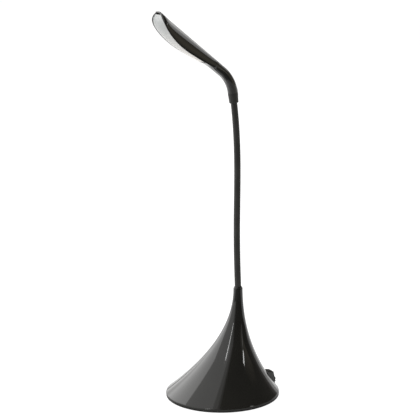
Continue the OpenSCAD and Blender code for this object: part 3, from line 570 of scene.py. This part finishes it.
def switch_opening(loop, z):
    """The switch's square opening. It needs no outline, but takes one as the inlet's does."""
    return arch(SWITCH_X - OPENING_W / 2, SWITCH_X + OPENING_W / 2, SWITCH_Y - OPENING_H / 2,
                SWITCH_Y + OPENING_H / 2, z, OPENING_R, OPENING_R)


def inlet_opening(loop, z):
    """The inlet's round hole."""
    return ray_circle(loop, np.array([INLET_X, INLET_Y]), INLET_HOLE, z)


housing("switch_housing", SWITCH_BOX, switch_opening, True)
housing("inlet_housing", INLET_BOX, inlet_opening, False)

# %% [markdown]
# ## The gooseneck
# Inside is a wound steel tube, and over it a black sleeve that bends with it. The tube is a round wire
# and a three-cornered one wound together, whose friction holds the head up.

# %% Neck path
NECK_R, SLEEVE_BORE = 3.7, 2.9
NECK_TOP, NECK_FOOT, JOINTS = 336.5, 132.0, 12
SLEEVE_BOTTOM, INTO_HEAD = 100.3, 6.0
NECK_WAVE, NECK_FORWARD = 0.9, 3.0


def neck_middle(z):
    """Y of the neck's middle: one small sine wave along its length, and a lean forward that grows as
    the sixth power of the share of the length."""
    share = np.clip((z - BASE_H) / (NECK_TOP - BASE_H), 0, 1)
    return APEX_BACK - NECK_WAVE * np.sin(2 * np.pi * share) - NECK_FORWARD * share**6


joint_z = np.linspace(NECK_FOOT, NECK_TOP, JOINTS)
cuts = np.concatenate([[SLEEVE_BOTTOM], (joint_z[1:] + joint_z[:-1]) / 2, [NECK_TOP + INTO_HEAD]])


def sleeve_rows(z, radius, turns=48):
    """Circles round the neck at heights z, each square to the path there."""
    middle = neck_middle(z)
    lean = np.arctan2(-np.gradient(middle, z), 1.0)
    angle = np.linspace(0, 2 * np.pi, turns, endpoint=False)[None, :]
    across = radius * np.sin(angle)
    return np.stack([
        radius * np.cos(angle) + 0 * z[:, None],
        middle[:, None] + across * np.cos(lean)[:, None],
        z[:, None] + across * np.sin(lean)[:, None],
    ], axis=-1)


print("joints every %.1f mm from %.0f to %.0f mm up" % (joint_z[1] - joint_z[0], joint_z[0], joint_z[-1]))

# %% [markdown]
# The construction model has eleven short links. Each stretch of sleeve runs from the middle of one link
# to the middle of the next, across the joint between them, and follows the neck's path over its whole
# length. A rigid tube on each link would be simpler, but its ends would part on the outside of a bend and
# show the steel.

# %% Neck sleeves
for k in range(1, JOINTS + 1):
    z = np.linspace(cuts[k - 1], cuts[k], 30)
    rows = np.concatenate([sleeve_rows(z, NECK_R), sleeve_rows(z, SLEEVE_BORE)[::-1]])
    sleeve = piece(f"sleeve_{k:02d}", rows, "satin_black", ring=True)
    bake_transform(sleeve)
    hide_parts(f"neck_sleeve_{k:02d}")

# %% [markdown]
# ## The head
# The head is one path: a straight sleeve, an elbow and a long straight petal. A point on it is given
# by its run along the path, its distance to the side and its height towards the crown. On the petal,
# the half width and the depth below the crown are smooth functions of the run.

# %% Head path
HEAD_RISE, SLEEVE_LEAN = 40.0, 6.0
SLEEVE_L, TUBE_R, ELBOW_R = 11.8, 5.7, 37.0
PETAL_L, PETAL_W, PETAL_H, HEAD_WALL = 101.0, 38.6, 16.3, 1.8
TURN = 90 - HEAD_RISE - SLEEVE_LEAN
ELBOW_L = ELBOW_R * math.radians(TURN)
PETAL_S = SLEEVE_L + ELBOW_L
head_y, head_z = float(neck_middle(np.array(NECK_TOP))), NECK_TOP


def lean_at(s):
    """Lean of the path from upright, in radians: the sleeve's own, growing evenly round the elbow."""
    return np.radians(SLEEVE_LEAN + TURN * np.clip((s - SLEEVE_L) / ELBOW_L, 0, 1))


def path_at(s):
    """Y and Z of the path at run s: up the sleeve, round a circle, and straight on."""
    lean0, lean1 = math.radians(SLEEVE_LEAN), math.radians(SLEEVE_LEAN + TURN)
    top = np.array([head_y - SLEEVE_L * math.sin(lean0), head_z + SLEEVE_L * math.cos(lean0)])
    middle = top - ELBOW_R * np.array([math.cos(lean0), math.sin(lean0)])
    a = lean_at(s)
    bow = middle + ELBOW_R * np.stack([np.cos(a), np.sin(a)], -1)
    low = np.clip(s - SLEEVE_L, None, 0)[..., None] * np.array([-math.sin(lean0), math.cos(lean0)])
    high = np.clip(s - PETAL_S, 0, None)[..., None] * np.array([-math.sin(lean1), math.cos(lean1)])
    return bow + low + high


def on_head(s, x, v):
    """Points at run s, x to the side and v towards the crown."""
    s, x, v = np.broadcast_arrays(s, x, v)
    p, a = path_at(s), lean_at(s)
    return np.stack([x, p[..., 0] + v * np.cos(a), p[..., 1] + v * np.sin(a)], -1)


def on_petal(b, x, d):
    """The same, with b counted from where the petal starts and d down from the crown."""
    return on_head(PETAL_S + np.asarray(b, float), x, TUBE_R - np.asarray(d, float))


print("elbow: %.0f degrees in %.1f mm; the petal starts %.1f mm along" % (TURN, ELBOW_L, PETAL_S))

# %% [markdown]
# From the side, the rim drops away from the tube to its deepest place and then runs up round the tip
# as a quarter of an ellipse. From above, the petal widens almost evenly and ends in a rounded nose.
# The curves were read off the photograph's outline and set by comparing renders with it.

# %% Petal formulas
SWELL_AT, DEEP_AT, WIDEN_AT, WIDEST_AT = 15.0, 63.0, 10.0, PETAL_L - 13.0
SPLIT_FROM, SPLIT_RUN = -5.0, 33.0
TIP_RUN = PETAL_L - DEEP_AT
NOSE, NOSE_POWER, LEVEL_OFF = 14.5, 2.7, 0.12


def depth(b):
    """Depth of the rim below the crown: half a cosine wave down, then a quarter of an ellipse."""
    drop = 2 * TUBE_R + (PETAL_H - 2 * TUBE_R) * ease((b - SWELL_AT) / (DEEP_AT - SWELL_AT))
    tip = PETAL_H * np.sqrt(np.clip(1 - ((b - DEEP_AT) / TIP_RUN) ** 2, 0, 1))
    return np.where(b < DEEP_AT, drop, tip)


def half_width(b):
    """Half the width: a power of the run that levels off at its widest along a parabola, times a
    superellipse over the last stretch."""
    t = np.clip((b - WIDEN_AT) / (WIDEST_AT - WIDEN_AT), 0, 1 + LEVEL_OFF)
    t = t - np.clip(t - 1 + LEVEL_OFF, 0, None) ** 2 / (4 * LEVEL_OFF)
    n = np.clip((b - PETAL_L + NOSE) / NOSE, 0, 1)
    return (TUBE_R + (PETAL_W / 2 - TUBE_R) * t**0.8) * (1 - n**NOSE_POWER) ** (1 / NOSE_POWER)


def split(b):
    """Depth at which the upper shell ends: half the tube, then the rim."""
    return TUBE_R + (depth(b) - TUBE_R) * ease((b - SPLIT_FROM) / SPLIT_RUN)


print("petal: %.1f mm wide where it is widest" % (2 * half_width(np.linspace(0, PETAL_L, 400)).max()))

# %% [markdown]
# The upper shell is one moulding, and most of what the eye sees of the head. Each section is a closed
# loop: an arch outside, a small round over the rim, an arch inside and the other rim. At the tip, the
# last rows close in on the middle of the wall round a quarter circle, which rounds the edge there.

# %% Upper shell of the head
RIM_FROM, RIM_RUN, RIM_ROUND = 18.0, 14.0, 0.7
tip_end = math.asin((HEAD_WALL + 0.1) / PETAL_H)
runs = np.concatenate([
    np.linspace(-ELBOW_L, 0, 26)[:-1],
    np.linspace(0, DEEP_AT, 60)[:-1],
    DEEP_AT + TIP_RUN * np.cos(np.linspace(math.pi / 2, tip_end, 60)),
])
b = runs[:, None]
sweep = np.linspace(0, np.pi, 64)[None, :]
outer_arch = on_petal(b, half_width(b) * np.cos(sweep), split(b) - split(b) * np.sin(sweep))
inner_arch = on_petal(b, (half_width(b) - HEAD_WALL) * np.cos(sweep),
                      split(b) - (split(b) - HEAD_WALL) * np.sin(sweep))
over_rim = np.linspace(0, np.pi, 9)[None, 1:-1]
rim_half = half_width(b) - HEAD_WALL / 2
rim_side = HEAD_WALL / 2 * np.cos(over_rim)
rim_depth = split(b) + ease((b - RIM_FROM) / RIM_RUN) * RIM_ROUND * HEAD_WALL / 2 * np.sin(over_rim)
far_rim = on_petal(b, -rim_half - rim_side, rim_depth)
near_rim = on_petal(b, rim_half - rim_side, rim_depth)
half_rim = over_rim.shape[1] // 2
loops = np.concatenate([
    near_rim[:, half_rim:], outer_arch, far_rim, inner_arch[:, ::-1], near_rim[:, :half_rim],
], axis=1)
loops = np.roll(loops, -half_rim - 1, axis=1)
rounded = np.radians([20, 40, 60, 75, 86])[:, None, None]
forward = np.array([0.0, -math.cos(math.radians(HEAD_RISE)), math.sin(math.radians(HEAD_RISE))])
wall_middle = (loops[-1] + loops[-1, ::-1]) / 2
loops = np.concatenate([loops, wall_middle + (loops[-1] - wall_middle) * np.cos(rounded)
                        + HEAD_WALL / 2 * np.sin(rounded) * forward])
shell = piece("head_upper_shell", loops, "gloss_black", "head", finish="worn_gloss")
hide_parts("head_shell")

# %% [markdown]
# The sleeve that the neck goes into belongs to the same moulding. It is satin like the neck, so it is
# turned here as a skin of its own, with a rounded foot.

# %% Head sleeve
BORE, SLEEVE_FOOT_R, FOOT_H, FOOT_Z = NECK_R + 0.1, 5.25, 1.6, 0.4
FOOT_IN, FOOT_OUT, TOP_STEP = 4.1, 5.1, 0.4
climb = np.linspace(FOOT_H, SLEEVE_L, 14)
outer_r = SLEEVE_FOOT_R + (TUBE_R - SLEEVE_FOOT_R) * ease((climb - FOOT_H) / (SLEEVE_L - FOOT_H))
outer = np.stack([outer_r, climb], -1)
foot = rounding((FOOT_IN, FOOT_Z), (FOOT_OUT, FOOT_Z), outer[0], 9)[:-1]
closing = [(TUBE_R - TOP_STEP, SLEEVE_L), (BORE, SLEEVE_L), (BORE, FOOT_Z)]
section = np.concatenate([foot, outer, closing])
about = np.linspace(0, 2 * np.pi, 96, endpoint=False)[None, :]
sleeve_points = on_head(section[:, 1:], section[:, :1] * np.cos(about), section[:, :1] * np.sin(about))
piece("head_sleeve", sleeve_points, "satin_black", "head", ring=True)

# %% [markdown]
# Below, the elbow is open, so that the leads can be laid in it. A cover shaped like a trough closes it,
# half a tube at the sleeve and as wide and deep as the petal where the diffuser starts.

# %% Elbow cover
COVER_GAP, COVER_END = 0.05, 24.0
runs = [np.linspace(-ELBOW_L + COVER_GAP, 0, 26)[:-1], np.linspace(0, COVER_END, 24)]
b = np.concatenate(runs)[:, None]
drop = depth(b) - split(b)
outer_trough = on_petal(b, half_width(b) * np.cos(sweep), split(b) + drop * np.sin(sweep))
inner_trough = on_petal(b, (half_width(b) - HEAD_WALL) * np.cos(sweep),
                        split(b) + (drop - HEAD_WALL) * np.sin(sweep))
trough = np.concatenate([outer_trough, inner_trough[:, ::-1]], axis=1)
cover = piece("elbow_underside", trough, "gloss_black", "head", finish="worn_gloss")
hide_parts("elbow_cover")

# %% [markdown]
# ## The diffuser
# An opal sheet closes the underside and spreads the light of the eighteen LEDs. It follows the rim's
# own curve a little inside it, so its lines are straight across and curved along. Such a sheet can be
# formed warm from flat stock: here one face is laid out, and the other is moved in by the thickness.

# %% Diffuser
DIFFUSER_T, DIFFUSER_FROM, DIFFUSER_END = 1.5, 24.3, math.radians(13)
PROUD, SUNK, BULGE = 0.3, 0.6, 1.3
RISE_RUN, SINK_FROM, SINK_RUN, SHEET_SHARE = 0.15, 1.45, 0.5, 0.985


def rim(u):
    """Run and depth of the rim: along the underside while u is below 1, round the tip after that."""
    run = DIFFUSER_FROM + (DEEP_AT - DIFFUSER_FROM) * u
    a = math.pi / 2 - (math.pi / 2 - DIFFUSER_END) * (u - 1)
    return np.stack([
        np.where(u < 1, run, DEEP_AT + TIP_RUN * np.cos(a)),
        np.where(u < 1, depth(run), PETAL_H * np.sin(a)),
    ], -1)


def inwards(u):
    """Unit vector square to the rim's curve, into the shell."""
    along = rim(u + 0.01) - rim(u - 0.01)
    along = along / np.linalg.norm(along, axis=-1, keepdims=True)
    return np.stack([along[..., 1], -along[..., 0]], -1)


def hollow_half(b, d):
    """Half the width of the shell's hollow at run b and depth d."""
    flat = (depth(b) - d) / (depth(b) - HEAD_WALL)
    return (half_width(b) - HEAD_WALL) * np.sqrt(np.clip(1 - flat**2, 0, 1))


def diffuser_face(u, behind, across):
    """One face of the sheet, that far behind its front: sunk at the tip, a little proud elsewhere and
    bulging out towards its middle line as one minus the square of the share across."""
    swell = ease(u / RISE_RUN) * (1 - ease((u - SINK_FROM) / SINK_RUN))
    edge = SUNK - (SUNK + PROUD) * swell
    inset = behind + edge[:, None] - BULGE * swell[:, None] * (1 - across**2)
    p = rim(u)[:, None, :] + inset[..., None] * inwards(u)[:, None, :]
    base = rim(u) + SUNK * inwards(u)
    half = hollow_half(base[:, 0], base[:, 1])[:, None]
    return on_petal(p[..., 0], half * across, p[..., 1])


u = np.linspace(0, 2, 120)
across = np.linspace(1, -1, 24)[None, :] * SHEET_SHARE
sheet = np.concatenate([
    diffuser_face(u, 0.0, across), diffuser_face(u, DIFFUSER_T, across)[:, ::-1],
], axis=1)
diffuser = piece("opal_diffuser", sheet, "diffuser_white", "head")
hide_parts("diffuser")

# %% [markdown]
# ## Studio
# A plain white floor that runs far back, and soft panels round the lamp. On a mirror black skin the
# shapes of the panels are what the eye sees, so each stands where the photograph's reflections put it.
# Glossy ware is often shot with black cards laid in front of it, so that it does not mirror the table.
# Here the Light Path node does the cards' work: the eye sees the floor and the room plain and pale from
# every side, and the mirror skin sees a floor that fades out in front and has a painted contact shadow
# close under the foot.

# %% Floor
FLOOR, WHITE = 12.0, 0.96
FADE_FROM, FADE_TO, FADE_LEFT, FADE_TURN = 0.14, 0.32, 0.03, math.radians(25)
SHADE_FROM, SHADE_TO, SHADE_LEFT = 0.066, 0.095, 0.15
floor_mesh = bpy.data.meshes.new("studio_floor")
corners = [(-FLOOR, -FLOOR, 0), (FLOOR, -FLOOR, 0), (FLOOR, FLOOR, 0), (-FLOOR, FLOOR, 0)]
floor_mesh.from_pydata(corners, [], [(0, 1, 2, 3)])
floor = bpy.data.objects.new("studio_floor", floor_mesh)
bpy.context.scene.collection.objects.link(floor)
tree, white, place = new_finish("floor_white")
white.inputs["Roughness"].default_value = 0.8
white.inputs["Emission Color"].default_value = (1.0, 1.0, 1.0, 1.0)
turned = tree.nodes.new("ShaderNodeMapping")
turned.inputs["Rotation"].default_value = (0.0, 0.0, FADE_TURN)
tree.links.new(place, turned.inputs["Vector"])
ahead = axis_of(tree, turned.outputs["Vector"], "X")
fade = between(tree, ahead, FADE_FROM, FADE_TO, WHITE, FADE_LEFT, soft=True)
# Painted contact shadow: the floor's mirrored glow is dimmed in a ring close under the foot.
contact = between(tree, distance(tree, place, (0.0, 0.0, 0.0)), SHADE_FROM, SHADE_TO, SHADE_LEFT, 1.0)
seen = tree.nodes.new("ShaderNodeLightPath")
shown = calc(tree, "MULTIPLY", seen.outputs["Is Camera Ray"], WHITE)
glow = calc(tree, "MAXIMUM", shown, calc(tree, "MULTIPLY", fade, contact))
tree.links.new(glow, white.inputs["Emission Strength"])
tone = ramp(tree, fade, (0.18, 0.18, 0.18), (0.24, 0.24, 0.24), 0.0, 0.8)
tree.links.new(tone, white.inputs["Base Color"])
floor_mesh.materials.append(finishes["floor_white"])
print("floor: its mirrored light fades out %.0f to %.0f mm in front" % (FADE_FROM / MM, FADE_TO / MM))

# %% World
world = bpy.data.worlds.new("studio")
world.use_nodes = True
tree = world.node_tree
dim = tree.nodes["Background"]
dim.inputs["Color"].default_value = (0.12, 0.112, 0.100, 1.0)
pale = tree.nodes.new("ShaderNodeBackground")
pale.inputs["Color"].default_value = (0.97, 0.97, 0.97, 1.0)
ray = tree.nodes.new("ShaderNodeLightPath")
either = tree.nodes.new("ShaderNodeMixShader")
tree.links.new(ray.outputs["Is Camera Ray"], either.inputs[0])
tree.links.new(dim.outputs["Background"], either.inputs[1])
tree.links.new(pale.outputs["Background"], either.inputs[2])
tree.links.new(either.outputs["Shader"], tree.nodes["World Output"].inputs["Surface"])
bpy.context.scene.world = world
print("world: pale to the camera, dim and a little warm to the lamp")

# %% [markdown]
# Each panel stands at an azimuth, an elevation and a distance from the part of the lamp that it serves.
# The light edge of a reflection is softened by wider and dimmer panels behind the bright one. The small
# panels near the head have a narrow beam, so that they draw the elbow's edge and leave the base dark.

# %% Light panels


def towards(azimuth, elevation):
    """Direction from the lamp: azimuth from +Y towards +X, and elevation above level, in degrees."""
    a, e = math.radians(azimuth), math.radians(elevation)
    return np.array([math.sin(a) * math.cos(e), math.cos(a) * math.cos(e), math.sin(e)])


def panel(name, azimuth, elevation, away, width, height, radiance, centre=(0.0, 0.0, 0.15),
          tint=(1.0, 1.0, 1.0), beam=180.0):
    """Rectangular soft light that faces the lamp. A panel's power is its radiance times pi times its
    area. A beam under 180 degrees keeps its light off what lies far to its side."""
    light = bpy.data.lights.new(name, "AREA")
    light.color, light.spread = tint, math.radians(beam)
    light.shape, light.size, light.size_y = "RECTANGLE", width, height
    light.energy = radiance * math.pi * width * height
    lamp = bpy.data.objects.new(name, light)
    bpy.context.scene.collection.objects.link(lamp)
    back = towards(azimuth, elevation)
    side = np.cross([0.0, 0.0, 1.0], back)
    side = side / np.linalg.norm(side)
    m = np.eye(4)
    m[:3, 0], m[:3, 1], m[:3, 2] = side, np.cross(back, side), back
    m[:3, 3] = np.array(centre) + back * away
    lamp.matrix_world = Matrix(m.tolist())
    print(f"{name}: {width:.2f} x {height:.2f} m, {light.energy:.0f} W")


HEAD_CENTRE, ELBOW_CENTRE = (0.0, -0.03, 0.44), (0.0, 0.0, 0.375)
panel("left_sky", -150, 38, 2.0, 4.6, 3.4, 0.55)
panel("left_sky_soft", -154, 40, 2.0, 6.0, 3.8, 0.38)
panel("left_sky_wide", -157, 42, 2.0, 7.0, 3.8, 0.28)
panel("left_wall", -108, 25, 2.2, 2.9, 2.0, 1.65)
panel("backdrop", -50, 3, 8.0, 20.0, 0.8, 0.60)
panel("backdrop_soft", -48, 4, 8.0, 21.0, 1.1, 0.16)
panel("backdrop_wide", -46, 7, 8.0, 22.0, 2.0, 0.08)
panel("head_wall", -10, 25, 0.5, 0.38, 0.20, 1.7, centre=HEAD_CENTRE)
panel("head_wall_far", -57, 4, 0.5, 0.22, 0.34, 0.25, centre=HEAD_CENTRE, beam=75)
panel("head_wall_mid", -34, 4, 0.5, 0.22, 0.34, 0.27, centre=HEAD_CENTRE, beam=75)
panel("head_wall_near", -10, -1, 0.5, 0.24, 0.24, 0.27, centre=HEAD_CENTRE, beam=75)
panel("elbow_underside", -122, -54, 0.34, 0.36, 0.30, 0.26, centre=ELBOW_CENTRE, beam=50)
panel("warm_room", 40, 6, 0.6, 0.62, 0.44, 0.08, centre=HEAD_CENTRE, tint=(1.0, 0.9, 0.7), beam=75)
panel("tall_strip", 150, 37.5, 2.0, 0.11, 1.10, 11.0)
panel("small_lamp", 48.5, 32.0, 2.0, 0.12, 0.30, 13.0)
panel("small_lamp_stand", 51, 18, 2.1, 0.22, 0.60, 0.8)

# %% [markdown]
# ## The finished lamp
# The Standard view shows the floor as white as it is painted.

# %% Finish
bpy.context.scene.view_settings.view_transform = "Standard"
